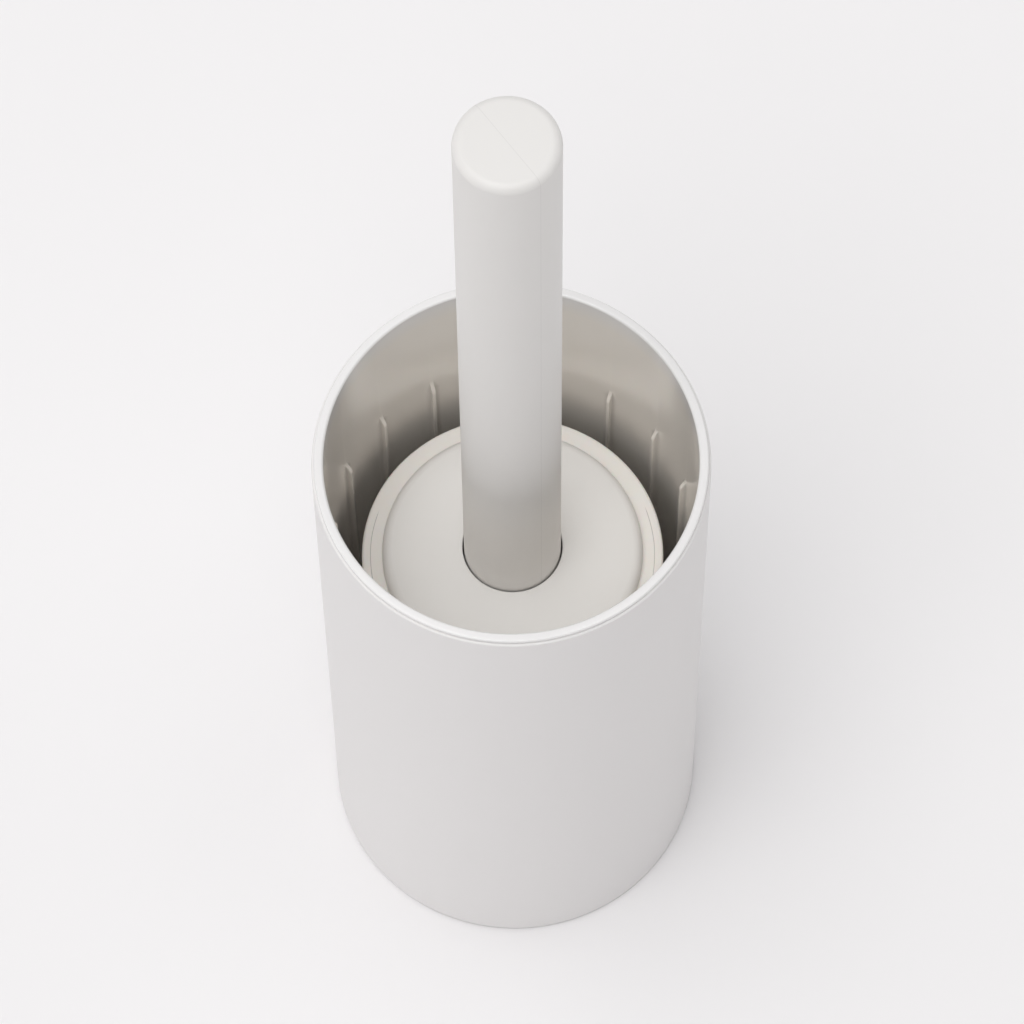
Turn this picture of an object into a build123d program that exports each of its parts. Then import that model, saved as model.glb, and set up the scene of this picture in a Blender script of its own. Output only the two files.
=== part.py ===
from build123d import *
import math
import os

# Toilet brush and holder: an outer sleeve with a lift-out ribbed liner, and a brush
# with a splash disc, a soft drip ring and a handle that screws off the head.
# Sizes are in millimetres. The holder stands on z = 0 and everything is centred on Z.

os.makedirs("parts", exist_ok=True)

# Outer sleeve and base
BODY_DIA = 100.0            # outside of the sleeve
RIM_HEIGHT = 206.0          # top of the liner's rim above the floor
RIM_STAND = 1.4             # how far the rim stands above the sleeve's top edge
SLEEVE_WALL = 1.5
SLEEVE_EDGE_ROUND = 0.6
SLEEVE_LIFT = 0.5           # sleeve's lower edge above the floor
REBATE_DEPTH = 0.6          # step cut in the sleeve's wall for the base plate
REBATE_HEIGHT = 5.5
PLATE_THICKNESS = 2.4
PLATE_CLEARANCE = 0.1
FOOT_RING_WIDTH = 6.0
FOOT_RING_INSET = 4.0       # from the sleeve's outside to the foot ring
FOOT_GROOVE_DEPTH = 0.8
FOOT_CLEARANCE = 0.1
FOOT_ROUND = 0.8

# Inner liner
LINER_CLEARANCE = 0.3       # between liner and sleeve at the top
LINER_WALL = 1.2
LINER_DRAFT = 0.5           # degrees
LINER_FLOOR = 1.6
LINER_BASE_GAP = 2.0        # air under the liner, which hangs from its rim
LINER_CORNER = 3.0
RIM_OVERLAP = 0.9           # how far the rim reaches over the sleeve's edge
RIM_SEAT_GAP = 0.25
RIM_INNER_ROUND = 0.7
RIM_OUTER_ROUND = 0.5
RIB_COUNT = 18
RIB_PHASE = 16.0            # degrees, the first rib's direction
RIB_THICKNESS = 1.1
RIB_DEPTH = 1.6             # from the wall to the free edge
RIB_TOP_DROP = 43.2         # rib tops below the rim
RIB_LEAD = 3.6              # height over which a rib's top slopes in
RIB_LEAD_ROUND = 3.0
RIB_EDGE_ROUND = 0.25
RIB_FOOT_GAP = 3.0          # ribs stop short of the floor, so water runs together

# Brush head
STAND_GAP = 0.3             # between the bristle ends and the liner's floor
END_BRISTLE_LENGTH = 24.1
END_BRISTLE_FLARE = 11.0    # how much wider the end bristles are than the block
BLOCK_RADIUS = 15.0
BLOCK_LENGTH = 72.0
BLOCK_END_ROUND = 1.5
BRISTLE_CLEARANCE = 9.0     # bristle tips to the rib edges at the ribs' top
NECK_LENGTH = 37.0
NECK_RADIUS = 9.0
FLANGE_THICKNESS = 2.4
CUP_WALL = 3.0
CUP_DEPTH = 7.1

# Tufts: each is a bundle folded round a flat staple at the bottom of a blind hole
TUFT_HOLE_RADIUS = 1.2
TUFT_HOLE_DEPTH = 7.0
TUFT_CLEARANCE = 0.05
SIDE_ROWS = 12
SIDE_ROW_PITCH = 5.2
SIDE_TUFTS_PER_ROW = 12
END_CIRCLES = ((0.0, 1), (5.0, 5), (10.5, 10))   # circle radius and tufts on it
STAPLE = (1.0, 2.0, 0.3)    # depth along the hole, width, thickness

# Splash disc and soft drip ring
RING_CLEARANCE = 6.0        # drip ring's edge to the rib edges at the ribs' top
RING_THICKNESS = 2.2
RING_EDGE_THICKNESS = 1.6
RING_SLOPE_WIDTH = 5.3      # part of the ring that shows outside the disc
RING_EDGE_ROUND = 0.7
DISC_THICKNESS = 4.5        # at the hole
DISC_DOME = 1.2             # how much lower the top is where the edge rounding starts
DISC_EDGE_ROUND = 2.3
DISC_UNDER_ROUND = 0.5
DISC_COLLAR_WALL = 2.0
COLLAR_CLEARANCE = 0.05

# Handle
HANDLE_DIA = 25.0
HANDLE_TUBE_LENGTH = 233.0
HANDLE_WALL = 2.2
HANDLE_TOP = 2.6
HANDLE_TOP_ROUND = 2.3
HANDLE_HOLE_CLEARANCE = 0.4
PLUG_FLANGE = 2.0
PLUG_LENGTH = 16.0
PLUG_BORE_RADIUS = 4.0
PLUG_CLEARANCE = 0.05
STUD_RADIUS = 7.0
STUD_LENGTH = 14.0
STUD_CLEARANCE = 0.05
SOCKET_WALL = 3.45
SOCKET_SPARE = 1.5          # bore depth below the end of the stud
WASHER_THICKNESS = 1.5
WASHER_CLEARANCE = 0.4

# Radii and heights that follow from the sizes above
BODY_R = BODY_DIA / 2
SLEEVE_BORE_R = BODY_R - SLEEVE_WALL
SLEEVE_TOP = RIM_HEIGHT - RIM_STAND
PLATE_TOP = SLEEVE_LIFT + REBATE_HEIGHT
PLATE_BOTTOM = PLATE_TOP - PLATE_THICKNESS
FOOT_OUTER_R = BODY_R - FOOT_RING_INSET

LINER_OUTER_R = SLEEVE_BORE_R - LINER_CLEARANCE
LINER_BOTTOM = PLATE_TOP + LINER_BASE_GAP
LINER_FLOOR_TOP = LINER_BOTTOM + LINER_FLOOR
RIB_TOP = RIM_HEIGHT - RIB_TOP_DROP


def liner_inner_r(height):
    """Radius of the liner's inner wall at a height."""
    return LINER_OUTER_R - LINER_WALL - (RIM_HEIGHT - height) * math.tan(math.radians(LINER_DRAFT))


RIB_EDGE_R = liner_inner_r(RIB_TOP) - RIB_DEPTH

BRISTLE_R = RIB_EDGE_R - BRISTLE_CLEARANCE
BRISTLE_END = LINER_FLOOR_TOP + STAND_GAP
BLOCK_BOTTOM = BRISTLE_END + END_BRISTLE_LENGTH
BLOCK_TOP = BLOCK_BOTTOM + BLOCK_LENGTH
FLANGE_BOTTOM = BLOCK_TOP + NECK_LENGTH
FLANGE_TOP = FLANGE_BOTTOM + FLANGE_THICKNESS
RING_TOP = FLANGE_TOP + RING_THICKNESS
DISC_TOP = RING_TOP + DISC_THICKNESS
CUP_FLOOR = RING_TOP - CUP_DEPTH
SIDE_FIRST_ROW = BLOCK_BOTTOM + TUFT_HOLE_DEPTH + 2 * TUFT_HOLE_RADIUS + 1.6

RING_R = RIB_EDGE_R - RING_CLEARANCE
DISC_R = RING_R - RING_SLOPE_WIDTH
HANDLE_R = HANDLE_DIA / 2
HANDLE_HOLE_R = HANDLE_R + HANDLE_HOLE_CLEARANCE
CUP_R = HANDLE_HOLE_R + CUP_WALL
COLLAR_BORE_R = CUP_R + COLLAR_CLEARANCE
COLLAR_R = COLLAR_BORE_R + DISC_COLLAR_WALL
RING_BORE_R = COLLAR_R + COLLAR_CLEARANCE
FLANGE_R = (RING_BORE_R + DISC_R) / 2 + 2.0
SOCKET_R = STUD_RADIUS + SOCKET_WALL
WASHER_TOP = CUP_FLOOR + WASHER_THICKNESS
TUBE_BOTTOM = WASHER_TOP + PLUG_FLANGE
HANDLE_BORE_R = HANDLE_R - HANDLE_WALL


def turned(points, rounds=()):
    """Solid of revolution about Z from a closed outline of (radius, height) points.

    rounds lists (corner number, rounding radius) pairs."""
    face = make_face(Polyline(*[(r, 0, z) for r, z in points], close=True)).faces()[0]
    for corner, radius in rounds:
        r, z = points[corner]
        spot = face.vertices().sort_by_distance((r, 0, z))[0]
        face = face.fillet_2d(radius, [spot])
    return revolve(face, Axis.Z, 360)


def outer_sleeve():
    """Straight tube with a rounded top edge and a step inside its lower edge."""
    rebate_r = SLEEVE_BORE_R + REBATE_DEPTH
    return turned(
        [(BODY_R, SLEEVE_LIFT), (BODY_R, SLEEVE_TOP), (SLEEVE_BORE_R, SLEEVE_TOP),
         (SLEEVE_BORE_R, PLATE_TOP), (rebate_r, PLATE_TOP), (rebate_r, SLEEVE_LIFT)],
        [(0, SLEEVE_EDGE_ROUND / 2), (1, SLEEVE_EDGE_ROUND)])


def base_plate():
    """Disc that closes the sleeve, with a groove underneath for the foot ring."""
    plate_r = SLEEVE_BORE_R + REBATE_DEPTH - PLATE_CLEARANCE
    groove_top = PLATE_BOTTOM + FOOT_GROOVE_DEPTH
    groove_outer = FOOT_OUTER_R + FOOT_CLEARANCE
    groove_inner = FOOT_OUTER_R - FOOT_RING_WIDTH - FOOT_CLEARANCE
    return turned(
        [(0, PLATE_BOTTOM), (groove_inner, PLATE_BOTTOM), (groove_inner, groove_top),
         (groove_outer, groove_top), (groove_outer, PLATE_BOTTOM), (plate_r, PLATE_BOTTOM),
         (plate_r, PLATE_TOP), (0, PLATE_TOP)])


def foot_ring():
    """Soft ring that the holder stands on."""
    top = PLATE_BOTTOM + FOOT_GROOVE_DEPTH
    inner_r = FOOT_OUTER_R - FOOT_RING_WIDTH
    return turned(
        [(inner_r, 0), (FOOT_OUTER_R, 0), (FOOT_OUTER_R, top), (inner_r, top)],
        [(0, FOOT_ROUND), (1, FOOT_ROUND)])


def liner_rib():
    """One upright rib, lying along +X, whose top slopes in to a rounded free edge."""
    root = LINER_WALL / 2
    low = LINER_FLOOR_TOP + RIB_FOOT_GAP
    lead_low = RIB_TOP - RIB_LEAD
    shoulder = (liner_inner_r(lead_low) - RIB_DEPTH, 0, lead_low)
    outline = Polyline(
        (liner_inner_r(low) - RIB_DEPTH, 0, low), (liner_inner_r(low) + root, 0, low),
        (liner_inner_r(RIB_TOP) + root, 0, RIB_TOP), (liner_inner_r(RIB_TOP), 0, RIB_TOP),
        shoulder, close=True)
    face = make_face(outline).faces()[0]
    face = face.fillet_2d(RIB_LEAD_ROUND, [face.vertices().sort_by_distance(shoulder)[0]])
    rib = extrude(face, RIB_THICKNESS / 2, dir=(0, 1, 0), both=True)
    free_face = rib.faces().sort_by(Axis.X)[0]
    return fillet(free_face.edges().sort_by(SortBy.LENGTH)[-2:], RIB_EDGE_ROUND)


def inner_liner():
    """Drafted cup with a rounded rim that hangs on the sleeve, and ribs on its wall."""
    draft = math.tan(math.radians(LINER_DRAFT))
    rim_r = SLEEVE_BORE_R + RIM_OVERLAP
    rim_bottom = SLEEVE_TOP + RIM_SEAT_GAP
    bottom_r = LINER_OUTER_R - (RIM_HEIGHT - LINER_BOTTOM) * draft
    neck_r = LINER_OUTER_R - (RIM_HEIGHT - rim_bottom) * draft
    cup = turned(
        [(0, LINER_BOTTOM), (bottom_r, LINER_BOTTOM), (neck_r, rim_bottom),
         (rim_r, rim_bottom), (rim_r, RIM_HEIGHT), (liner_inner_r(RIM_HEIGHT), RIM_HEIGHT),
         (liner_inner_r(LINER_FLOOR_TOP), LINER_FLOOR_TOP), (0, LINER_FLOOR_TOP)],
        [(1, LINER_CORNER), (6, LINER_CORNER - LINER_WALL), (4, RIM_OUTER_ROUND),
         (5, RIM_INNER_ROUND)])
    rib = liner_rib()
    step = 360 / RIB_COUNT
    return cup + [Rot(0, 0, RIB_PHASE + step * i) * rib for i in range(RIB_COUNT)]


def tuft_places():
    """Where the tufts are: each place's Z axis points out of the hole, from its mouth."""
    side = []
    step = 360 / SIDE_TUFTS_PER_ROW
    for row in range(SIDE_ROWS):
        height = SIDE_FIRST_ROW + row * SIDE_ROW_PITCH
        for i in range(SIDE_TUFTS_PER_ROW):
            turn = step * (i + (row % 2) / 2)
            side.append(Pos(0, 0, height) * Rot(0, 0, turn) * Pos(BLOCK_RADIUS, 0, 0) * Rot(0, 90, 0))
    end = []
    for radius, count in END_CIRCLES:
        for i in range(count):
            end.append(Rot(0, 0, 360 / count * i) * Pos(radius, 0, BLOCK_BOTTOM) * Rot(180, 0, 0))
    return side, end


def rod(radius, low, high):
    """Cylinder about Z between two heights."""
    return Pos(0, 0, (low + high) / 2) * Cylinder(radius, high - low)


def brush_core():
    """Bristle block, neck, flange, handle cup and threaded socket in one moulding."""
    bore_r = STUD_RADIUS + STUD_CLEARANCE
    bore_bottom = WASHER_TOP - STUD_LENGTH - SOCKET_SPARE
    shoulder = bore_bottom - SOCKET_WALL
    cup_bottom = CUP_FLOOR - CUP_WALL
    body = turned(
        [(0, BLOCK_BOTTOM), (BLOCK_RADIUS, BLOCK_BOTTOM), (BLOCK_RADIUS, BLOCK_TOP),
         (NECK_RADIUS, BLOCK_TOP + 2.5), (NECK_RADIUS, shoulder - 2.0), (SOCKET_R, shoulder),
         (SOCKET_R, cup_bottom - (CUP_R - SOCKET_R)), (CUP_R, cup_bottom),
         (CUP_R, FLANGE_BOTTOM), (FLANGE_R, FLANGE_BOTTOM), (FLANGE_R, FLANGE_TOP),
         (CUP_R, FLANGE_TOP), (CUP_R, RING_TOP), (HANDLE_HOLE_R, RING_TOP),
         (HANDLE_HOLE_R, CUP_FLOOR), (bore_r, CUP_FLOOR),
         (bore_r, bore_bottom), (0, bore_bottom)],
        [(1, BLOCK_END_ROUND), (9, 0.5)])
    side, end = tuft_places()
    hole = rod(TUFT_HOLE_RADIUS, -TUFT_HOLE_DEPTH, 1.0)
    return body - [place * hole for place in side + end]


def bristles(body, places):
    """A bristle bundle's outer shape, with a root in each of its holes."""
    root_bottom = -TUFT_HOLE_DEPTH + STAPLE[0] + 2 * TUFT_CLEARANCE
    root = rod(TUFT_HOLE_RADIUS - TUFT_CLEARANCE, root_bottom, 1.0)
    return body + [place * root for place in places]


def side_bristles():
    """Barrel of bristles round the block."""
    inner_r = BLOCK_RADIUS + TUFT_CLEARANCE
    low = SIDE_FIRST_ROW - TUFT_HOLE_RADIUS - 0.5
    high = SIDE_FIRST_ROW + (SIDE_ROWS - 1) * SIDE_ROW_PITCH + TUFT_HOLE_RADIUS + 0.5
    body = turned(
        [(inner_r, low), (BRISTLE_R - 3.0, low - 6.0), (BRISTLE_R, low),
         (BRISTLE_R, high), (BRISTLE_R - 3.0, high + 4.0), (inner_r, high)])
    return bristles(body, tuft_places()[0])


def end_bristles():
    """Bristles below the block, flared, that the brush stands on."""
    top = BLOCK_BOTTOM - TUFT_CLEARANCE
    root_r = BLOCK_RADIUS - BLOCK_END_ROUND
    body = turned(
        [(0, BRISTLE_END), (root_r + END_BRISTLE_FLARE - 3.0, BRISTLE_END),
         (root_r + END_BRISTLE_FLARE, BRISTLE_END + 4.0), (root_r, top), (0, top)])
    return bristles(body, tuft_places()[1])


def tuft_staples():
    """One flat staple at the bottom of each tuft hole."""
    side, end = tuft_places()
    depth, width, thickness = STAPLE
    staple = Pos(0, 0, -TUFT_HOLE_DEPTH + TUFT_CLEARANCE + depth / 2) * Box(width, thickness, depth)
    return Compound([place * staple for place in side + end])


def drip_ring():
    """Soft ring clamped under the disc, sloping gently down to a rounded edge."""
    slope_start = DISC_R - DISC_UNDER_ROUND
    middle = (FLANGE_TOP + RING_TOP) / 2 - 0.2
    half = RING_EDGE_THICKNESS / 2
    return turned(
        [(RING_BORE_R, FLANGE_TOP), (FLANGE_R, FLANGE_TOP), (RING_R, middle - half),
         (RING_R, middle + half), (slope_start, RING_TOP), (RING_BORE_R, RING_TOP)],
        [(2, RING_EDGE_ROUND), (3, RING_EDGE_ROUND)])


def splash_disc():
    """Gently domed disc round the handle, with a collar that centres the drip ring."""
    edge_top = DISC_TOP - DISC_DOME
    return turned(
        [(HANDLE_HOLE_R, RING_TOP), (COLLAR_BORE_R, RING_TOP), (COLLAR_BORE_R, FLANGE_TOP),
         (COLLAR_R, FLANGE_TOP), (COLLAR_R, RING_TOP), (DISC_R, RING_TOP),
         (DISC_R, edge_top), (HANDLE_HOLE_R, DISC_TOP)],
        [(5, DISC_UNDER_ROUND), (6, DISC_EDGE_ROUND), (7, 0.3)])


def seal_washer():
    """Soft washer between the handle's end and the floor of the cup."""
    inner_r = STUD_RADIUS + WASHER_CLEARANCE
    outer_r = HANDLE_R - WASHER_CLEARANCE
    return turned(
        [(inner_r, CUP_FLOOR), (outer_r, CUP_FLOOR), (outer_r, WASHER_TOP), (inner_r, WASHER_TOP)])


def handle_tube():
    """Long tube with a closed, rounded top."""
    top = TUBE_BOTTOM + HANDLE_TUBE_LENGTH
    return turned(
        [(HANDLE_BORE_R, TUBE_BOTTOM), (HANDLE_R, TUBE_BOTTOM), (HANDLE_R, top), (0, top),
         (0, top - HANDLE_TOP), (HANDLE_BORE_R, top - HANDLE_TOP)],
        [(2, HANDLE_TOP_ROUND), (5, 1.0)])


def handle_plug():
    """Plug in the tube's lower end, with the stud that screws into the head."""
    plug_r = HANDLE_BORE_R - PLUG_CLEARANCE
    top = TUBE_BOTTOM + PLUG_LENGTH
    return turned(
        [(0, WASHER_TOP - STUD_LENGTH), (STUD_RADIUS, WASHER_TOP - STUD_LENGTH),
         (STUD_RADIUS, WASHER_TOP), (HANDLE_R, WASHER_TOP), (HANDLE_R, TUBE_BOTTOM),
         (plug_r, TUBE_BOTTOM), (plug_r, top), (PLUG_BORE_RADIUS, top),
         (PLUG_BORE_RADIUS, TUBE_BOTTOM), (0, TUBE_BOTTOM)],
        [(1, 1.0), (6, 1.0)])


PIECES = {
    "outer_sleeve": outer_sleeve,
    "base_plate": base_plate,
    "foot_ring": foot_ring,
    "inner_liner": inner_liner,
    "brush_core": brush_core,
    "side_bristles": side_bristles,
    "end_bristles": end_bristles,
    "tuft_staples": tuft_staples,
    "drip_ring": drip_ring,
    "splash_disc": splash_disc,
    "seal_washer": seal_washer,
    "handle_tube": handle_tube,
    "handle_plug": handle_plug,
}

for name, make in PIECES.items():
    export_step(make(), f"parts/{name}.step")
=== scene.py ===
"""Finished look of the toilet brush and its holder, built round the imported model.

The pieces are turned, extruded and bevelled with bmesh operators, in metres, in the
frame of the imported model, so each piece lies where its CAD node lies."""

import math
import random

import bmesh
import bpy
from mathutils import Matrix, Vector


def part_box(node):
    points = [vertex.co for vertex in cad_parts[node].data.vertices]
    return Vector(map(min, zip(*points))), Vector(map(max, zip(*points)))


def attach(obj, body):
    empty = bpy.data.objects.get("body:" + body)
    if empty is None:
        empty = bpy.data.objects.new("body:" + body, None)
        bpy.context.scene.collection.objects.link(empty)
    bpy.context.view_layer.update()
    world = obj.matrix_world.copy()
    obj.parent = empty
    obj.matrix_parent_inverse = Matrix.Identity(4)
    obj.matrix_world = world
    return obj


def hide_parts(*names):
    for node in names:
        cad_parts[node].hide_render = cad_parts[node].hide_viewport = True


bl_info = {
    "name": "Toilet Brush and Holder",
    "version": (1, 0, 0),
    "blender": (4, 5, 0),
    "location": "View3D > Sidebar > Brush Holder",
    "description": "Builds a ribbed-liner brush holder and its brush round a packed frame",
    "category": "Object",
}

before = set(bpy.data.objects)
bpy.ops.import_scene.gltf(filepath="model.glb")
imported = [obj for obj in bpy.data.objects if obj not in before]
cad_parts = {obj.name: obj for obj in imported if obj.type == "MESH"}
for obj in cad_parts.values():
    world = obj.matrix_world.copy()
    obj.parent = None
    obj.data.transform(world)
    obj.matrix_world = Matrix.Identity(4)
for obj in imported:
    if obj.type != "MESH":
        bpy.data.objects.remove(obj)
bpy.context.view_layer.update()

MM = 0.001
TURN_STEPS = 144            # faces round a turned piece
CORNER_STEPS = 5            # faces across a rounded corner
WELD = 0.002 * MM           # vertices closer than this are one vertex
NEAR = 0.1 * MM             # how close a place is to count as the same

SLEEVE_LOW, SLEEVE_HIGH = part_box("outer_sleeve")
LINER_LOW, LINER_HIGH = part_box("inner_liner")
RING_LOW, RING_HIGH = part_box("drip_ring")
DISC_LOW, DISC_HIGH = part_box("splash_disc")
TUBE_LOW, TUBE_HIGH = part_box("handle_tube")
CORE_LOW, CORE_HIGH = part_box("brush_core")
SIDE_LOW, SIDE_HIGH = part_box("side_bristles")
END_LOW, END_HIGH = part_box("end_bristles")
RIM_OVERHANG = LINER_HIGH.x

PARTING_TURN = -54.0        # degrees, direction of the handle's parting line
PARTING_WIDTH = 0.13 * MM
CREASE_WIDTH = 0.17 * MM
CREASE_WAVER = 0.6 * MM     # how far the drip ring's crease wanders
CREASE_FADE = (30.0 * MM, 35.0 * MM)    # from the middle, where the crease starts and is full

SIDE_FAN = (3.1 * MM, 6.6 * MM)         # half spread of a side tuft, along and round the block
END_FAN = (4.2 * MM, 4.2 * MM)
END_CIRCLES = ((0.0, 1), (5.0 * MM, 5), (10.5 * MM, 10))   # radius, and tufts on it
TUFT_ROOT = 3.0 * MM        # length of a tuft inside its hole

FLOOR_HALF = 40.0
CAMERA_PLACE = (0.0, -0.603, 1.533)
CAMERA_PITCH = 66.08        # degrees below level
CAMERA_ROLL = 0.75          # degrees
CAMERA_LENS = 205.3
CAMERA_SENSOR = 36.0
SKY_STRENGTH = 0.26
SUNS = (                    # name, direction, elevation, angular size in degrees, strength
    ("overhead", 0, 90, 45, 0.94),
    ("front_left", 243, 62, 42, 0.64),
    ("high_left", 180, 64, 40, 0.24),
    ("back_left", 125, 48, 60, 0.24),
    ("low_left", 188, 38, 80, 0.20),
    ("low_front_left", 230, 42, 60, 0.32),
    ("low_right", 15, 25, 60, 0.28),
)


def length(name, default, description):
    """A size in metres that the user can change."""
    return bpy.props.FloatProperty(
        name=name, default=default, description=description, min=0.0, unit="LENGTH", precision=5)


def tint(name, default, description):
    """A linear colour that the user can change."""
    return bpy.props.FloatVectorProperty(
        name=name, default=default, description=description,
        subtype="COLOR", size=3, min=0.0, max=1.0)


class HolderSizes(bpy.types.PropertyGroup):
    """Sizes of the sleeve and of the liner inside it."""
    sleeve_wall: length("Sleeve Wall", 1.5 * MM, "Thickness of the outer sleeve")
    sleeve_round: length("Sleeve Edge", 0.6 * MM, "Rounding of the sleeve's top edge")
    liner_wall: length("Liner Wall", 1.2 * MM, "Thickness of the liner")
    liner_gap: length("Liner Gap", 0.3 * MM, "Air between liner and sleeve at the top")
    liner_floor: length("Liner Floor", 1.6 * MM, "Thickness of the liner's floor")
    liner_corner: length("Liner Corner", 3.0 * MM, "Rounding of the liner's lower corner")
    rim_round: length("Rim Rounding", 0.7 * MM, "Rounding of the rim's inner edge")
    rim_outer_round: length("Rim Outer Rounding", 0.5 * MM, "Rounding of the rim's outer edge")
    seat_gap: length("Seat Gap", 0.25 * MM, "Air between the rim and the sleeve's edge")
    rib_drop: length("Rib Drop", 43.2 * MM, "Rib tops below the rim")
    rib_foot: length("Rib Foot", 3.0 * MM, "Rib ends above the liner's floor")
    rib_depth: length("Rib Depth", 1.6 * MM, "How far a rib stands out from the wall")
    rib_thickness: length("Rib Thickness", 1.1 * MM, "Width of a rib")
    rib_lead: length("Rib Lead", 3.6 * MM, "Height over which a rib's top slopes in")
    rib_shoulder: length("Rib Shoulder", 0.8 * MM, "Rounding where a rib's slope ends")
    rib_edge: length("Rib Edge", 0.22 * MM, "Rounding of a rib's long edges")
    draft: bpy.props.FloatProperty(
        name="Draft", default=math.radians(0.5), subtype="ANGLE", unit="ROTATION",
        description="How much the liner narrows towards its floor")
    rib_phase: bpy.props.FloatProperty(
        name="First Rib", default=math.radians(16.0), subtype="ANGLE", unit="ROTATION",
        description="Direction of the first rib")
    rib_count: bpy.props.IntProperty(
        name="Ribs", default=18, min=3, max=36, description="Ribs round the liner")


class BrushSizes(bpy.types.PropertyGroup):
    """Sizes of the handle, disc, ring and bristles."""
    handle_round: length("Handle Top", 2.3 * MM, "Rounding of the handle's top edge")
    handle_wall: length("Handle Wall", 2.2 * MM, "Thickness of the handle tube")
    handle_cap: length("Handle Cap", 2.6 * MM, "Thickness of the tube's closed top")
    disc_hole: length("Disc Hole", 12.9 * MM, "Radius of the hole round the handle")
    disc_round: length("Disc Edge", 2.3 * MM, "Rounding of the disc's upper edge")
    disc_under: length("Disc Under", 0.5 * MM, "Rounding of the disc's lower edge")
    disc_dome: length("Disc Dome", 1.2 * MM, "How much the disc falls towards its edge")
    collar_wall: length("Collar Wall", 2.0 * MM, "Thickness of the collar under the disc")
    cup_radius: length("Cup Radius", 15.95 * MM, "Radius inside the disc's collar")
    ring_bore: length("Ring Bore", 18.0 * MM, "Radius of the drip ring's hole")
    ring_edge: length("Ring Edge", 1.6 * MM, "Thickness of the drip ring's edge")
    ring_round: length("Ring Rounding", 0.7 * MM, "Rounding of the drip ring's edge")
    ring_crease: length("Ring Crease", 37.1 * MM, "Radius of the fine crease on the drip ring")
    flange_radius: length("Flange", 27.85 * MM, "Radius of the flange under the drip ring")
    block_radius: length("Block Radius", 15.0 * MM, "Radius of the bristle block")
    filament: length("Filament", 0.42 * MM, "Diameter of a bristle")
    hole_radius: length("Tuft Hole", 1.15 * MM, "Radius of a tuft where it leaves its hole")
    row_pitch: length("Row Pitch", 5.2 * MM, "Distance between rows of tufts")
    first_row: length("First Row", 11.0 * MM, "First row of tufts above the block's end")
    tufts: bpy.props.IntProperty(
        name="Tufts", default=12, min=4, max=24, description="Tufts in each row")
    rows: bpy.props.IntProperty(
        name="Rows", default=12, min=1, max=20, description="Rows of tufts on the block")
    filaments: bpy.props.IntProperty(
        name="Filaments", default=34, min=4, max=60, description="Bristles in each tuft")
    seed: bpy.props.IntProperty(
        name="Seed", default=7, description="Start of the random order of the bristles")


class PieceColours(bpy.types.PropertyGroup):
    """Base colours of the moulded and soft pieces."""
    sleeve: tint("Sleeve", (0.830, 0.811, 0.805), "Matt outer sleeve")
    # The liner's warmer tone against the cooler rim is painted warm bounce light inside the liner.
    liner: tint("Liner", (0.890, 0.848, 0.792), "Satin liner")
    rim: tint("Rim", (0.850, 0.838, 0.835), "Rim of the liner")
    handle: tint("Handle", (0.812, 0.795, 0.776), "Satin handle")
    disc: tint("Disc", (0.822, 0.810, 0.792), "Matt splash disc")
    ring: tint("Drip Ring", (0.950, 0.918, 0.880), "Soft cream ring")
    core: tint("Core", (0.780, 0.770, 0.750), "Brush core")
    base: tint("Base", (0.720, 0.710, 0.690), "Base plate")
    foot: tint("Foot Ring", (0.520, 0.520, 0.510), "Rubber foot ring")
    bristle: tint("Bristles", (0.850, 0.840, 0.810), "Nylon bristles")
    washer: tint("Washer", (0.800, 0.800, 0.790), "Silicone washer")
    staple: tint("Staples", (0.600, 0.600, 0.590), "Flat steel staples")
    floor: tint("Floor", (0.880, 0.866, 0.872), "Floor that it stands on")


# ---------------------------------------------------------------- meshes


def finished(bm, name, body, slot_name, material, *nodes):
    """Closes a bmesh into an object that rides on a body and stands for CAD nodes."""
    bmesh.ops.remove_doubles(bm, verts=bm.verts, dist=WELD)
    bmesh.ops.recalc_face_normals(bm, faces=bm.faces)
    mesh = bpy.data.meshes.new(name)
    bm.to_mesh(mesh)
    bm.free()
    mesh.shade_smooth()
    mesh.materials.append(material)
    piece = bpy.data.objects.new(name, mesh)
    bpy.context.scene.collection.objects.link(piece)
    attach(piece, body)
    if nodes:
        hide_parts(*nodes)
    return piece


def soften(piece):
    """Keeps broad faces flat-shaded right up to their rounded corners."""
    modifier = piece.modifiers.new("soft_corners", "WEIGHTED_NORMAL")
    modifier.weight = 50
    modifier.mode = "FACE_AREA"
    return piece


def chain(bm, outline, closed):
    """Vertices and edges of an outline of (radius, height) points in the XZ plane."""
    verts = [bm.verts.new((radius, 0.0, height)) for radius, height in outline]
    pairs = list(zip(verts, verts[1:]))
    if closed:
        pairs.append((verts[-1], verts[0]))
    return verts + [bm.edges.new(pair) for pair in pairs]


def ring_edges(bm, radius, height, slack=0.02 * MM):
    """Edges that lie on the circle of that radius and height."""
    def on_circle(vert):
        return abs(vert.co.xy.length - radius) < slack and abs(vert.co.z - height) < slack
    return [edge for edge in bm.edges if all(on_circle(vert) for vert in edge.verts)]


def round_edges(bm, edges, radius, segments=CORNER_STEPS):
    """Rounds edges with a bevel."""
    bmesh.ops.bevel(
        bm, geom=edges, offset=radius, offset_type="OFFSET", segments=segments,
        profile=0.5, affect="EDGES", material=-1, clamp_overlap=True)


def turned(outline, rounds=(), closed=True, steps=TURN_STEPS):
    """A bmesh turned about Z. rounds lists (corner number, radius) pairs."""
    bm = bmesh.new()
    geom = chain(bm, outline, closed)
    bmesh.ops.spin(
        bm, geom=geom, cent=(0, 0, 0), axis=(0, 0, 1), angle=math.tau, steps=steps,
        use_merge=True, use_duplicate=False)
    bmesh.ops.remove_doubles(bm, verts=bm.verts, dist=WELD)
    bmesh.ops.recalc_face_normals(bm, faces=bm.faces)
    for corner, radius in rounds:
        round_edges(bm, ring_edges(bm, *outline[corner]), radius)
    return bm


# ---------------------------------------------------------------- materials


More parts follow.
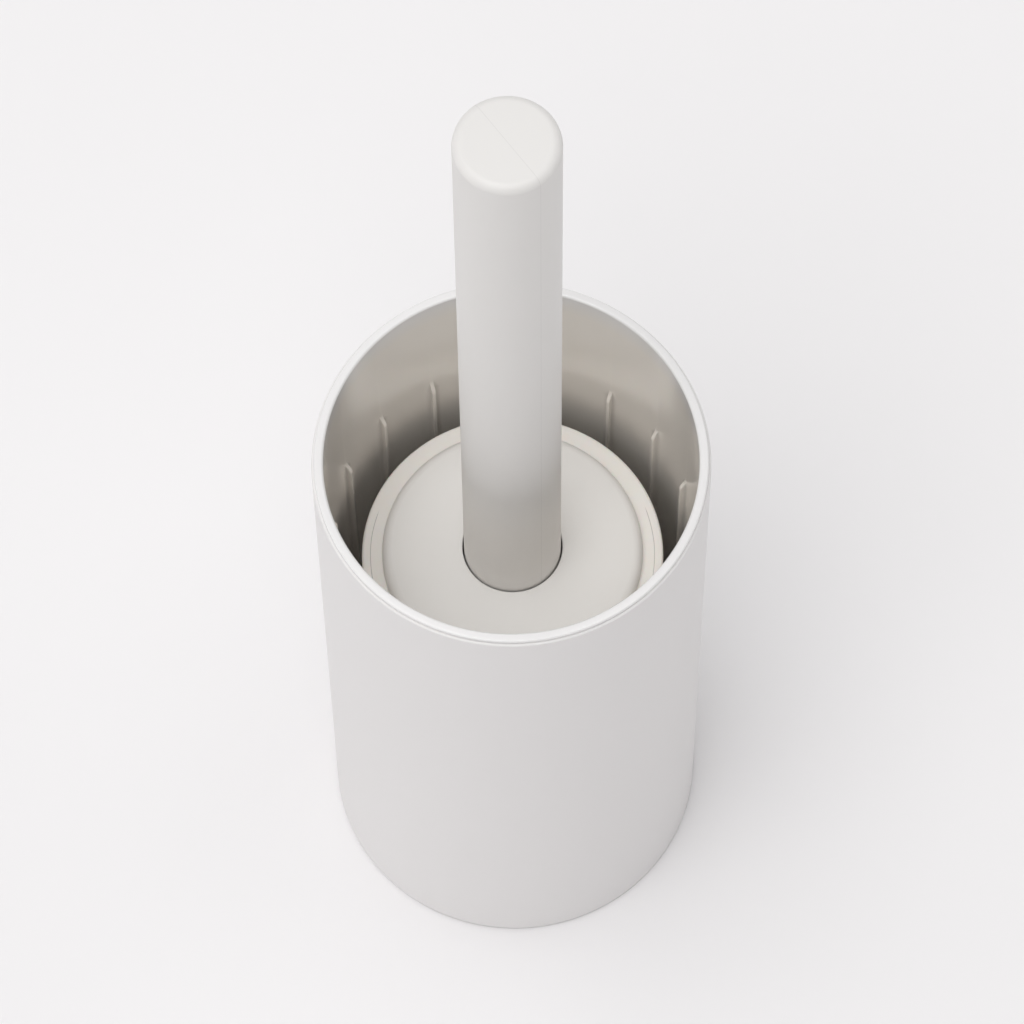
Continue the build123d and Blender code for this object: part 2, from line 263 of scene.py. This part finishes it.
def new_group(name, inputs, outputs):
    """A shader node group with named sockets. Returns its tree, input and output nodes."""
    tree = bpy.data.node_groups.new(name, "ShaderNodeTree")
    for direction, sockets in (("INPUT", inputs), ("OUTPUT", outputs)):
        for label, kind, default in sockets:
            socket = tree.interface.new_socket(
                name=label, in_out=direction, socket_type=f"NodeSocket{kind}")
            if default is not None:
                socket.default_value = default
    return tree, tree.nodes.new("NodeGroupInput"), tree.nodes.new("NodeGroupOutput")


def wired(tree, kind, sources=None, **settings):
    """Adds a node, sets its fields and links or sets its inputs."""
    node = tree.nodes.new(kind)
    for key, value in settings.items():
        setattr(node, key, value)
    for socket, value in (sources or {}).items():
        if isinstance(value, bpy.types.NodeSocket):
            tree.links.new(value, node.inputs[socket])
        else:
            node.inputs[socket].default_value = value
    return node


def moulded_group():
    """Moulded plastic: a fine skin, and broad faint changes of tone and gloss."""
    found = bpy.data.node_groups.get("moulded_skin")
    if found:
        return found
    tree, given, out = new_group(
        "moulded_skin",
        [("Vector", "Vector", None), ("Colour", "Color", (0.8, 0.8, 0.8, 1.0)),
         ("Roughness", "Float", 0.5), ("Grain Scale", "Float", 2200.0),
         ("Mottle Scale", "Float", 22.0), ("Mottle", "Float", 0.03),
         ("Gloss Change", "Float", 0.06)],
        [("Colour", "Color", None), ("Roughness", "Float", None), ("Height", "Float", None)])
    grain = wired(tree, "ShaderNodeTexNoise", {
        "Vector": given.outputs["Vector"], "Scale": given.outputs["Grain Scale"],
        "Detail": 3.0, "Roughness": 0.55})
    mottle = wired(tree, "ShaderNodeTexNoise", {
        "Vector": given.outputs["Vector"], "Scale": given.outputs["Mottle Scale"],
        "Detail": 4.0, "Roughness": 0.5})
    centred = wired(tree, "ShaderNodeMath", {
        0: mottle.outputs["Fac"], 1: 0.5}, operation="SUBTRACT")
    tone = wired(tree, "ShaderNodeMath", {
        0: centred.outputs[0], 1: given.outputs["Mottle"], 2: 1.0}, operation="MULTIPLY_ADD")
    colour = wired(tree, "ShaderNodeVectorMath", {
        0: given.outputs["Colour"], 1: tone.outputs[0]}, operation="MULTIPLY")
    rough = wired(tree, "ShaderNodeMath", {
        0: centred.outputs[0], 1: given.outputs["Gloss Change"],
        2: given.outputs["Roughness"]}, operation="MULTIPLY_ADD")
    tree.links.new(colour.outputs[0], out.inputs["Colour"])
    tree.links.new(rough.outputs[0], out.inputs["Roughness"])
    tree.links.new(grain.outputs["Fac"], out.inputs["Height"])
    return tree


def line_group():
    """Mask of a fine line where a value passes through zero."""
    found = bpy.data.node_groups.get("fine_line")
    if found:
        return found
    tree, given, out = new_group(
        "fine_line", [("Value", "Float", 1.0), ("Width", "Float", 0.0002)],
        [("Mask", "Float", None)])
    size = wired(tree, "ShaderNodeMath", {0: given.outputs["Value"]}, operation="ABSOLUTE")
    mask = wired(tree, "ShaderNodeMapRange", {
        "Value": size.outputs[0], "From Min": 0.0, "From Max": given.outputs["Width"],
        "To Min": 1.0, "To Max": 0.0}, interpolation_type="SMOOTHSTEP")
    tree.links.new(mask.outputs["Result"], out.inputs["Mask"])
    return tree


def moulded(name, colour, roughness, grain=2200.0, bump=0.05, mottle=0.03, gloss=0.06,
            subsurface=0.0):
    """Material of a moulded piece."""
    material = bpy.data.materials.new(name)
    material.use_nodes = True
    tree = material.node_tree
    shader = tree.nodes["Principled BSDF"]
    place = tree.nodes.new("ShaderNodeTexCoord")
    skin = wired(tree, "ShaderNodeGroup", node_tree=moulded_group())
    tree.links.new(place.outputs["Object"], skin.inputs["Vector"])
    for socket, value in (("Colour", (*colour, 1.0)), ("Roughness", roughness),
                          ("Grain Scale", grain), ("Mottle", mottle), ("Gloss Change", gloss)):
        skin.inputs[socket].default_value = value
    relief = wired(tree, "ShaderNodeBump", {
        "Strength": bump, "Distance": 0.0002, "Height": skin.outputs["Height"]})
    tree.links.new(skin.outputs["Colour"], shader.inputs["Base Color"])
    tree.links.new(skin.outputs["Roughness"], shader.inputs["Roughness"])
    tree.links.new(relief.outputs["Normal"], shader.inputs["Normal"])
    shader.inputs["Subsurface Weight"].default_value = subsurface
    shader.inputs["Subsurface Scale"].default_value = 1.5 * MM
    shader.inputs["IOR"].default_value = 1.49
    return material


def add_line(material, value, width, darken, depth):
    """Draws a fine line where a value passes through zero: a darker, sunken hairline."""
    tree = material.node_tree
    shader = tree_part(material, "ShaderNodeBsdfPrincipled")
    relief = tree_part(material, "ShaderNodeBump")
    skin = tree_part(material, "ShaderNodeGroup")
    line = wired(tree, "ShaderNodeGroup", node_tree=line_group())
    tree.links.new(value, line.inputs["Value"])
    line.inputs["Width"].default_value = width
    tone = wired(tree, "ShaderNodeMath", {
        0: line.outputs["Mask"], 1: -darken, 2: 1.0}, operation="MULTIPLY_ADD")
    source = shader.inputs["Base Color"].links[0].from_socket
    colour = wired(tree, "ShaderNodeVectorMath", {
        0: source, 1: tone.outputs[0]}, operation="MULTIPLY")
    tree.links.new(colour.outputs[0], shader.inputs["Base Color"])
    height = wired(tree, "ShaderNodeMath", {
        0: line.outputs["Mask"], 1: -depth, 2: skin.outputs["Height"]}, operation="MULTIPLY_ADD")
    tree.links.new(height.outputs[0], relief.inputs["Height"])
    return line


def place_parts(material):
    """The X, Y and Z of the object's own coordinates, in a material."""
    place = tree_part(material, "ShaderNodeTexCoord")
    return wired(material.node_tree, "ShaderNodeSeparateXYZ", {0: place.outputs["Object"]}).outputs


def tree_part(material, kind):
    """The first node of a kind in a material."""
    return next(node for node in material.node_tree.nodes if node.bl_idname == kind)


def angle_smoothing():
    """Geometry node group: welds, then shades smooth except across sharp edges."""
    found = bpy.data.node_groups.get("smooth_by_angle")
    if found:
        return found
    tree = bpy.data.node_groups.new("smooth_by_angle", "GeometryNodeTree")
    tree.is_modifier = True
    for direction in ("INPUT", "OUTPUT"):
        tree.interface.new_socket(
            name="Geometry", in_out=direction, socket_type="NodeSocketGeometry")
    given = tree.nodes.new("NodeGroupInput")
    out = tree.nodes.new("NodeGroupOutput")
    weld = wired(tree, "GeometryNodeMergeByDistance", {
        "Geometry": given.outputs[0], "Distance": 0.001 * MM})
    smooth = wired(tree, "GeometryNodeSetShadeSmooth", {
        "Geometry": weld.outputs[0], "Shade Smooth": True}, domain="FACE")
    angle = tree.nodes.new("GeometryNodeInputMeshEdgeAngle")
    steep = wired(tree, "FunctionNodeCompare", {
        "A": angle.outputs["Unsigned Angle"], "B": math.radians(32.0)}, operation="GREATER_THAN")
    sharp = wired(tree, "GeometryNodeSetShadeSmooth", {
        "Geometry": smooth.outputs[0], "Selection": steep.outputs[0],
        "Shade Smooth": False}, domain="EDGE")
    tree.links.new(sharp.outputs[0], out.inputs[0])
    return tree


def dress(node, material):
    """Gives a CAD node a material of its own and smooth shading by angle."""
    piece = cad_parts[node]
    piece.data.materials.clear()
    piece.data.materials.append(material)
    piece.modifiers.new("smooth_by_angle", "NODES").node_group = angle_smoothing()
    return piece


# ---------------------------------------------------------------- operators


class PieceOperator(bpy.types.Operator):
    """Shared by the operators: the settings and the colours of the scene."""
    bl_options = {"REGISTER", "UNDO"}

    def settings(self, context):
        """The three groups of settings."""
        scene = context.scene
        return scene.holder_sizes, scene.brush_sizes, scene.piece_colours


class BRUSHHOLDER_OT_sleeve(PieceOperator):
    """Turn the matt outer sleeve"""
    bl_idname = "brushholder.sleeve"
    bl_label = "Outer Sleeve"

    def execute(self, context):
        sizes, _, colours = self.settings(context)
        outer = SLEEVE_HIGH.x
        bore = outer - sizes.sleeve_wall
        _, plate_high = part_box("base_plate")
        step = plate_high.x + NEAR
        outline = [
            (outer, SLEEVE_LOW.z), (outer, SLEEVE_HIGH.z), (bore, SLEEVE_HIGH.z),
            (bore, plate_high.z), (step, plate_high.z), (step, SLEEVE_LOW.z)]
        bm = turned(outline, [(0, sizes.sleeve_round / 2), (1, sizes.sleeve_round),
                              (2, sizes.sleeve_round / 4)])
        material = moulded("matt_sleeve", colours.sleeve, 0.38, grain=1600.0, bump=0.08,
                           mottle=0.02, gloss=0.05)
        soften(finished(bm, "sleeve_shell", "holder", "sleeve_plastic", material, "outer_sleeve"))
        return {"FINISHED"}


class BRUSHHOLDER_OT_base(PieceOperator):
    """Give the base plate and the foot ring their finishes"""
    bl_idname = "brushholder.base"
    bl_label = "Base"

    def execute(self, context):
        _, _, colours = self.settings(context)
        dress("base_plate", moulded("base_plastic", colours.base, 0.55, bump=0.08))
        dress("foot_ring", moulded("foot_rubber", colours.foot, 0.78, grain=1200.0, bump=0.18))
        return {"FINISHED"}


class BRUSHHOLDER_OT_liner(PieceOperator):
    """Turn the liner and draw its ribs out of the wall"""
    bl_idname = "brushholder.liner"
    bl_label = "Ribbed Liner"

    def execute(self, context):
        sizes, _, colours = self.settings(context)
        slope = math.tan(sizes.draft)
        outer = SLEEVE_HIGH.x - sizes.sleeve_wall - sizes.liner_gap
        rim_top = LINER_HIGH.z
        rim_low = SLEEVE_HIGH.z + sizes.seat_gap
        floor_top = LINER_LOW.z + sizes.liner_floor
        rib_top = rim_top - sizes.rib_drop
        lead_low = rib_top - sizes.rib_lead
        rib_low = floor_top + sizes.rib_foot

        def outside(height):
            return outer - (rim_top - height) * slope

        def inside(height):
            return outside(height) - sizes.liner_wall

        outline = [
            (0.0, LINER_LOW.z), (outside(LINER_LOW.z), LINER_LOW.z),
            (outside(rim_low), rim_low), (RIM_OVERHANG, rim_low), (RIM_OVERHANG, rim_top),
            (inside(rim_top), rim_top), (inside(rib_top), rib_top), (inside(lead_low), lead_low),
            (inside(rib_low), rib_low), (inside(floor_top), floor_top), (0.0, floor_top)]
        bm = bmesh.new()
        swept = chain(bm, outline, closed=False)
        pitch = math.tau / sizes.rib_count
        rib_angle = sizes.rib_thickness / inside(rib_top)
        start = Matrix.Rotation(sizes.rib_phase - rib_angle / 2, 4, "Z")
        points = [item for item in swept if isinstance(item, bmesh.types.BMVert)]
        bmesh.ops.transform(bm, matrix=start, verts=points)
        for _ in range(sizes.rib_count):
            for angle, steps in ((rib_angle, 1), (pitch - rib_angle, 8)):
                swept = bmesh.ops.spin(
                    bm, geom=swept, cent=(0, 0, 0), axis=(0, 0, 1), angle=angle,
                    steps=steps, use_merge=False, use_duplicate=False)["geom_last"]
        bmesh.ops.remove_doubles(bm, verts=bm.verts, dist=WELD)
        bmesh.ops.recalc_face_normals(bm, faces=bm.faces)
        self.draw_ribs(bm, sizes, inside, rib_low, rib_top, rib_angle, pitch)
        for corner, radius in ((1, sizes.liner_corner), (9, sizes.liner_corner - sizes.liner_wall),
                               (3, 0.3 * MM), (4, sizes.rim_outer_round), (5, sizes.rim_round)):
            round_edges(bm, ring_edges(bm, *outline[corner]), radius)
        material = moulded("glossy_liner", colours.liner, 0.14, grain=900.0, bump=0.006,
                           mottle=0.03, gloss=0.05)
        # Painted bounce light: tints the liner below the rim warmer than the rim.
        self.paint_bounce_tint(material, colours, rim_top)
        soften(finished(bm, "ribbed_liner", "liner", "liner_plastic", material, "inner_liner"))
        return {"FINISHED"}

    def paint_bounce_tint(self, material, colours, rim_top):
        """Painted bounce light: the rim keeps a cooler tone and all of the liner below it is
        tinted warmer, standing in for warm light bounced round inside the liner.
        """
        tree = material.node_tree
        skin = tree_part(material, "ShaderNodeGroup")
        _, _, height = place_parts(material)
        share = wired(tree, "ShaderNodeMapRange", {
            "Value": height, "From Min": rim_top - 9.0 * MM, "From Max": rim_top - 1.0 * MM,
            "To Min": 0.0, "To Max": 1.0})
        mixed = wired(tree, "ShaderNodeMix", {
            "Factor": share.outputs["Result"]}, data_type="RGBA")
        mixed.inputs[6].default_value = (*colours.liner, 1.0)
        mixed.inputs[7].default_value = (*colours.rim, 1.0)
        tree.links.new(mixed.outputs[2], skin.inputs["Colour"])

    def draw_ribs(self, bm, sizes, inside, rib_low, rib_top, rib_angle, pitch):
        """Extrudes two wall faces of each pitch into a rib and rounds its free edges."""
        lead_low = rib_top - sizes.rib_lead

        def is_rib_face(face):
            centre = face.calc_center_median()
            if not rib_low < centre.z < rib_top:
                return False
            if abs(centre.xy.length - inside(centre.z)) > 2 * NEAR:
                return False
            turn = (math.atan2(centre.y, centre.x) - sizes.rib_phase) % pitch
            return min(turn, pitch - turn) < rib_angle / 4

        faces = [face for face in bm.faces if is_rib_face(face)]
        drawn = bmesh.ops.extrude_face_region(bm, geom=faces, use_keep_orig=False)["geom"]
        bmesh.ops.delete(bm, geom=[face for face in faces if face.is_valid], context="FACES")
        for vert in [item for item in drawn if isinstance(item, bmesh.types.BMVert)]:
            if vert.co.z < rib_top - NEAR:
                vert.co.xy *= 1 - sizes.rib_depth / vert.co.xy.length
        bmesh.ops.remove_doubles(bm, verts=bm.verts, dist=WELD)

        def is_free(vert):
            return vert.co.xy.length < inside(vert.co.z) - sizes.rib_depth + NEAR

        def in_ribs(edge, low, high):
            return all(low < vert.co.z < high and is_free(vert) for vert in edge.verts)

        shoulders = [edge for edge in bm.edges
                     if in_ribs(edge, lead_low - NEAR, lead_low + NEAR)]
        round_edges(bm, shoulders, sizes.rib_shoulder, 5)

        def is_side(face):
            centre = face.calc_center_median()
            across = Vector((-centre.y, centre.x, 0.0)).normalized()
            inner = centre.xy.length < inside(centre.z) - 3 * NEAR
            level = rib_low - MM < centre.z < rib_top + MM
            return inner and level and abs(face.normal.dot(across)) > 0.9

        def on_wall(edge):
            return all(abs(vert.co.xy.length - inside(vert.co.z)) < NEAR for vert in edge.verts)

        sides = {face for face in bm.faces if is_side(face)}
        edges = {edge for face in sides for edge in face.edges
                 if not on_wall(edge) and sum(other in sides for other in edge.link_faces) == 1}
        round_edges(bm, list(edges), sizes.rib_edge, 3)


class BRUSHHOLDER_OT_disc(PieceOperator):
    """Turn the domed splash disc"""
    bl_idname = "brushholder.disc"
    bl_label = "Splash Disc"

    def execute(self, context):
        _, sizes, colours = self.settings(context)
        edge = DISC_HIGH.x
        edge_top = DISC_HIGH.z - sizes.disc_dome
        hole = sizes.disc_hole
        under = RING_HIGH.z
        collar = sizes.cup_radius + sizes.collar_wall
        dome = []
        for step in range(1, 8):
            share = step / 8
            radius = edge + (hole - edge) * share
            fall = ((radius - hole) / (edge - hole)) ** 2
            dome.append((radius, edge_top + sizes.disc_dome * (1 - fall)))
        outline = [
            (hole, under), (sizes.cup_radius, under), (sizes.cup_radius, DISC_LOW.z),
            (collar, DISC_LOW.z), (collar, under), (edge, under), (edge, edge_top),
            *dome, (hole, DISC_HIGH.z)]
        bm = turned(outline, [(5, sizes.disc_under), (6, sizes.disc_round),
                              (len(outline) - 1, 0.35 * MM)])
        material = moulded("matt_disc", colours.disc, 0.58, grain=1500.0, bump=0.08,
                           mottle=0.04, gloss=0.06)
        soften(finished(bm, "disc_shell", "brush_head", "disc_plastic", material, "splash_disc"))
        return {"FINISHED"}


class BRUSHHOLDER_OT_ring(PieceOperator):
    """Turn the soft drip ring"""
    bl_idname = "brushholder.ring"
    bl_label = "Drip Ring"

    def execute(self, context):
        _, sizes, colours = self.settings(context)
        edge = RING_HIGH.x
        middle = (RING_LOW.z + RING_HIGH.z) / 2 - 0.2 * MM
        half = sizes.ring_edge / 2
        shoulder = DISC_HIGH.x - sizes.disc_under - 0.8 * MM
        outline = [
            (sizes.ring_bore, RING_LOW.z), (sizes.flange_radius, RING_LOW.z),
            (edge, middle - half), (edge, middle + half), (shoulder, RING_HIGH.z),
            (sizes.ring_bore, RING_HIGH.z)]
        bm = turned(outline, [(2, sizes.ring_round), (3, sizes.ring_round), (4, 1.0 * MM)])
        material = moulded("cream_elastomer", colours.ring, 0.6, grain=1300.0, bump=0.06,
                           mottle=0.05, gloss=0.08, subsurface=0.15)
        # Sunken crease, darkened with painted shade along it.
        self.crease(material, sizes)
        soften(finished(bm, "drip_ring_soft", "brush_head", "soft_ring", material, "drip_ring"))
        return {"FINISHED"}

    def crease(self, material, sizes):
        """A fine sunken crease round the ring's top that fades in and out, shown only towards
        either side along X; its darkening is painted shade in the crease.
        """
        tree = material.node_tree
        x, y, _ = place_parts(material)
        flat = wired(tree, "ShaderNodeCombineXYZ", {"X": x, "Y": y})
        radius = wired(tree, "ShaderNodeVectorMath", {0: flat.outputs[0]}, operation="LENGTH")
        place = tree_part(material, "ShaderNodeTexCoord")
        waver = wired(tree, "ShaderNodeTexNoise", {
            "Vector": place.outputs["Object"], "Scale": 60.0, "Detail": 1.0})
        drift = wired(tree, "ShaderNodeMath", {
            0: waver.outputs["Fac"], 1: CREASE_WAVER,
            2: -sizes.ring_crease}, operation="MULTIPLY_ADD")
        offset = wired(tree, "ShaderNodeMath", {0: radius.outputs["Value"], 1: drift.outputs[0]})
        side = wired(tree, "ShaderNodeMath", {0: x}, operation="ABSOLUTE")
        fade = wired(tree, "ShaderNodeMapRange", {
            "Value": side.outputs[0], "From Min": CREASE_FADE[0], "From Max": CREASE_FADE[1],
            "To Min": 1.0 * MM, "To Max": 0.0})
        shown = wired(tree, "ShaderNodeMath", {0: offset.outputs[0]}, operation="ABSOLUTE")
        gap = wired(tree, "ShaderNodeMath", {0: shown.outputs[0], 1: fade.outputs[0]})
        # Painted shade: the crease line is darkened to stand in for the shade inside it.
        add_line(material, gap.outputs[0], CREASE_WIDTH, darken=0.42, depth=1.5)


class BRUSHHOLDER_OT_handle(PieceOperator):
    """Turn the handle tube and finish the plug and the washer"""
    bl_idname = "brushholder.handle"
    bl_label = "Handle"

    def execute(self, context):
        _, sizes, colours = self.settings(context)
        outer = TUBE_HIGH.x
        bore = outer - sizes.handle_wall
        cap_low = TUBE_HIGH.z - sizes.handle_cap
        outline = [
            (0.0, TUBE_HIGH.z), (outer, TUBE_HIGH.z), (outer, TUBE_LOW.z), (bore, TUBE_LOW.z),
            (bore, cap_low), (0.0, cap_low)]
        bm = turned(outline, [(1, sizes.handle_round), (4, 1.0 * MM)], closed=False)
        material = moulded("satin_handle", colours.handle, 0.44, grain=1400.0, bump=0.05,
                           mottle=0.03, gloss=0.06)
        self.parting_line(material)
        soften(finished(bm, "handle_shell", "handle", "handle_plastic", material, "handle_tube"))
        dress("handle_plug", moulded("plug_plastic", colours.handle, 0.5))
        dress("seal_washer", moulded("washer_silicone", colours.washer, 0.35, subsurface=0.3))
        return {"FINISHED"}

    def parting_line(self, material):
        """The mould's parting line, a faint upright hairline that runs over the top."""
        tree = material.node_tree
        x, y, _ = place_parts(material)
        turn = math.radians(PARTING_TURN)
        across = wired(tree, "ShaderNodeMath", {0: x, 1: math.sin(turn)}, operation="MULTIPLY")
        offset = wired(tree, "ShaderNodeMath", {
            0: y, 1: -math.cos(turn), 2: across.outputs[0]}, operation="MULTIPLY_ADD")
        add_line(material, offset.outputs[0], PARTING_WIDTH, darken=0.10, depth=0.8)


class BRUSHHOLDER_OT_bristles(PieceOperator):
    """Finish the core and staples, and plant the nylon tufts"""
    bl_idname = "brushholder.bristles"
    bl_label = "Bristles"

    def execute(self, context):
        _, sizes, colours = self.settings(context)
        dress("brush_core", moulded("core_plastic", colours.core, 0.45, bump=0.05))
        steel = moulded("staple_steel", colours.staple, 0.35, bump=0.05)
        tree_part(steel, "ShaderNodeBsdfPrincipled").inputs["Metallic"].default_value = 1.0
        dress("tuft_staples", steel)
        nylon = moulded("nylon_filament", colours.bristle, 0.38, grain=3000.0, bump=0.02,
                        mottle=0.06, subsurface=0.2)
        rng = random.Random(sizes.seed)
        reach = SIDE_HIGH.x
        filament = self.filament(sizes)
        bm = bmesh.new()
        for row in range(sizes.rows):
            height = CORE_LOW.z + sizes.first_row + row * sizes.row_pitch
            for i in range(sizes.tufts):
                turn = math.tau / sizes.tufts * (i + (row % 2) / 2)
                place = (Matrix.Rotation(turn, 4, "Z")
                         @ Matrix.Translation((sizes.block_radius, 0, height))
                         @ Matrix.Rotation(math.pi / 2, 4, "Y"))
                self.tuft(bm, sizes, rng, filament, place, reach - sizes.block_radius,
                          SIDE_FAN, curve=reach)
        finished(bm, "side_tufts", "brush_head", "bristle_nylon", nylon, "side_bristles")
        bm = bmesh.new()
        for radius, count in END_CIRCLES:
            for i in range(count):
                turn = math.tau / count * i
                place = (Matrix.Rotation(turn, 4, "Z")
                         @ Matrix.Translation((radius, 0, CORE_LOW.z))
                         @ Matrix.Rotation(math.pi, 4, "X"))
                self.tuft(bm, sizes, rng, filament, place, CORE_LOW.z - END_LOW.z - NEAR,
                          END_FAN, lean=radius)
        finished(bm, "end_tufts", "brush_head", "bristle_nylon", nylon, "end_bristles")
        return {"FINISHED"}

    def filament(self, sizes):
        """Mesh of one straight filament, one unit long, with four sides and four lengths."""
        bm = bmesh.new()
        bmesh.ops.create_cone(
            bm, cap_ends=True, segments=4, radius1=sizes.filament / 2,
            radius2=sizes.filament / 2 * 0.8, depth=1.0)
        bmesh.ops.translate(bm, vec=(0, 0, 0.5), verts=bm.verts)
        uprights = [edge for edge in bm.edges
                    if abs(edge.verts[0].co.z - edge.verts[1].co.z) > 0.5]
        bmesh.ops.subdivide_edges(bm, edges=uprights, cuts=3, use_grid_fill=True)
        mesh = bpy.data.meshes.new("filament")
        bm.to_mesh(mesh)
        bm.free()
        return mesh

    def tuft(self, bm, sizes, rng, filament, place, reach, fan, curve=None, lean=0.0):
        """One tuft: filaments that leave a hole together and fan out."""
        count = len(filament.vertices)
        bundle = bmesh.new()
        for _ in range(sizes.filaments):
            angle = rng.uniform(0, math.tau)
            share = math.sqrt(rng.random())
            spot = Vector((math.cos(angle), math.sin(angle))) * share
            tip = Vector((spot.x * fan[0] + lean, spot.y * fan[1]))
            tip += Vector((rng.gauss(0, 0.5 * MM), rng.gauss(0, 0.5 * MM)))
            bend = Vector((rng.gauss(0, 0.6 * MM), rng.gauss(0, 0.6 * MM)))
            twist = Matrix.Rotation(rng.uniform(0, math.tau), 2)
            end = reach - abs(rng.gauss(0, 0.25 * MM))
            if curve:
                end -= curve - math.sqrt(curve ** 2 - min(abs(tip.y), curve) ** 2)
            start = spot * (sizes.hole_radius - sizes.filament / 2)
            bundle.from_mesh(filament)
            bundle.verts.ensure_lookup_table()
            for vert in bundle.verts[-count:]:
                height = vert.co.z * (end + TUFT_ROOT) - TUFT_ROOT
                along = max(0.0, height / end)
                path = start.lerp(tip, along ** 1.15) + bend * math.sin(math.pi * along)
                vert.co.xy = twist @ vert.co.xy + path
                vert.co.z = height
        bmesh.ops.transform(bundle, matrix=place, verts=bundle.verts)
        scratch = bpy.data.meshes.new("bundle")
        bundle.to_mesh(scratch)
        bundle.free()
        bm.from_mesh(scratch)
        bpy.data.meshes.remove(scratch)


class BRUSHHOLDER_OT_stage(PieceOperator):
    """Lay the floor and set the lights and the camera"""
    bl_idname = "brushholder.stage"
    bl_label = "Stage"

    def execute(self, context):
        _, _, colours = self.settings(context)
        self.floor(colours)
        self.lights(context)
        self.camera(context)
        return {"FINISHED"}

    def floor(self, colours):
        """A wide pale floor."""
        bm = bmesh.new()
        bmesh.ops.create_grid(bm, x_segments=8, y_segments=8, size=FLOOR_HALF)
        mesh = bpy.data.meshes.new("floor")
        bm.to_mesh(mesh)
        bm.free()
        mesh.materials.append(moulded("pale_floor", colours.floor, 0.85, grain=300.0, bump=0.0,
                                      mottle=0.01, gloss=0.02))
        floor = bpy.data.objects.new("floor", mesh)
        bpy.context.scene.collection.objects.link(floor)

    def lights(self, context):
        """Soft light from all round, strongest from above and from the front left."""
        world = bpy.data.worlds.new("soft_daylight")
        context.scene.world = world
        world.use_nodes = True
        sky = world.node_tree.nodes["Background"]
        sky.inputs["Color"].default_value = (1.0, 1.0, 1.0, 1.0)
        sky.inputs["Strength"].default_value = SKY_STRENGTH
        for name, direction, elevation, size, strength in SUNS:
            data = bpy.data.lights.new(name, "SUN")
            data.energy = strength
            data.angle = math.radians(size)
            light = bpy.data.objects.new(name, data)
            rise = math.radians(elevation)
            turn = math.radians(direction)
            source = Vector((math.cos(turn) * math.cos(rise), math.sin(turn) * math.cos(rise),
                             math.sin(rise)))
            light.rotation_euler = source.to_track_quat("Z", "Y").to_euler()
            context.scene.collection.objects.link(light)

    def camera(self, context):
        """Camera high in front, looking steeply down."""
        pitch = math.radians(CAMERA_PITCH)
        roll = math.radians(CAMERA_ROLL)
        data = bpy.data.cameras.new("camera")
        data.sensor_width = CAMERA_SENSOR
        data.lens = CAMERA_LENS
        camera = bpy.data.objects.new("camera", data)
        forward = Vector((0.0, math.cos(pitch), -math.sin(pitch)))
        right = Vector((1.0, 0.0, 0.0))
        down = forward.cross(right)
        turned_right = right * math.cos(roll) + down * math.sin(roll)
        turned_down = down * math.cos(roll) - right * math.sin(roll)
        axes = Matrix((turned_right, -turned_down, -forward)).transposed()
        camera.matrix_world = Matrix.Translation(CAMERA_PLACE) @ axes.to_4x4()
        context.scene.collection.objects.link(camera)
        context.scene.camera = camera
        context.scene.view_settings.view_transform = "Standard"


class BRUSHHOLDER_PT_panel(bpy.types.Panel):
    """Sidebar panel with the pieces and their settings"""
    bl_idname = "BRUSHHOLDER_PT_panel"
    bl_label = "Brush Holder"
    bl_space_type = "VIEW_3D"
    bl_region_type = "UI"
    bl_category = "Brush Holder"

    def draw(self, context):
        layout = self.layout
        for operator in OPERATORS:
            layout.operator(operator.bl_idname)
        for group in ("holder_sizes", "brush_sizes", "piece_colours"):
            settings = getattr(context.scene, group)
            box = layout.box()
            for name in settings.bl_rna.properties.keys():
                if name not in {"rna_type", "name"}:
                    box.prop(settings, name)


GROUPS = {"holder_sizes": HolderSizes, "brush_sizes": BrushSizes, "piece_colours": PieceColours}
OPERATORS = (
    BRUSHHOLDER_OT_sleeve, BRUSHHOLDER_OT_base, BRUSHHOLDER_OT_liner, BRUSHHOLDER_OT_disc,
    BRUSHHOLDER_OT_ring, BRUSHHOLDER_OT_handle, BRUSHHOLDER_OT_bristles, BRUSHHOLDER_OT_stage)


def register():
    """Registers the settings, the operators and the panel."""
    for name, group in GROUPS.items():
        bpy.utils.register_class(group)
        setattr(bpy.types.Scene, name, bpy.props.PointerProperty(type=group))
    for operator in OPERATORS:
        bpy.utils.register_class(operator)
    bpy.utils.register_class(BRUSHHOLDER_PT_panel)


def unregister():
    """Removes what register added."""
    bpy.utils.unregister_class(BRUSHHOLDER_PT_panel)
    for operator in reversed(OPERATORS):
        bpy.utils.unregister_class(operator)
    for name, group in GROUPS.items():
        delattr(bpy.types.Scene, name)
        bpy.utils.unregister_class(group)


def main():
    """Builds every piece and the stage."""
    register()
    for operator in OPERATORS:
        category, name = operator.bl_idname.split(".")
        getattr(getattr(bpy.ops, category), name)()


if __name__ == "__main__":
    main()
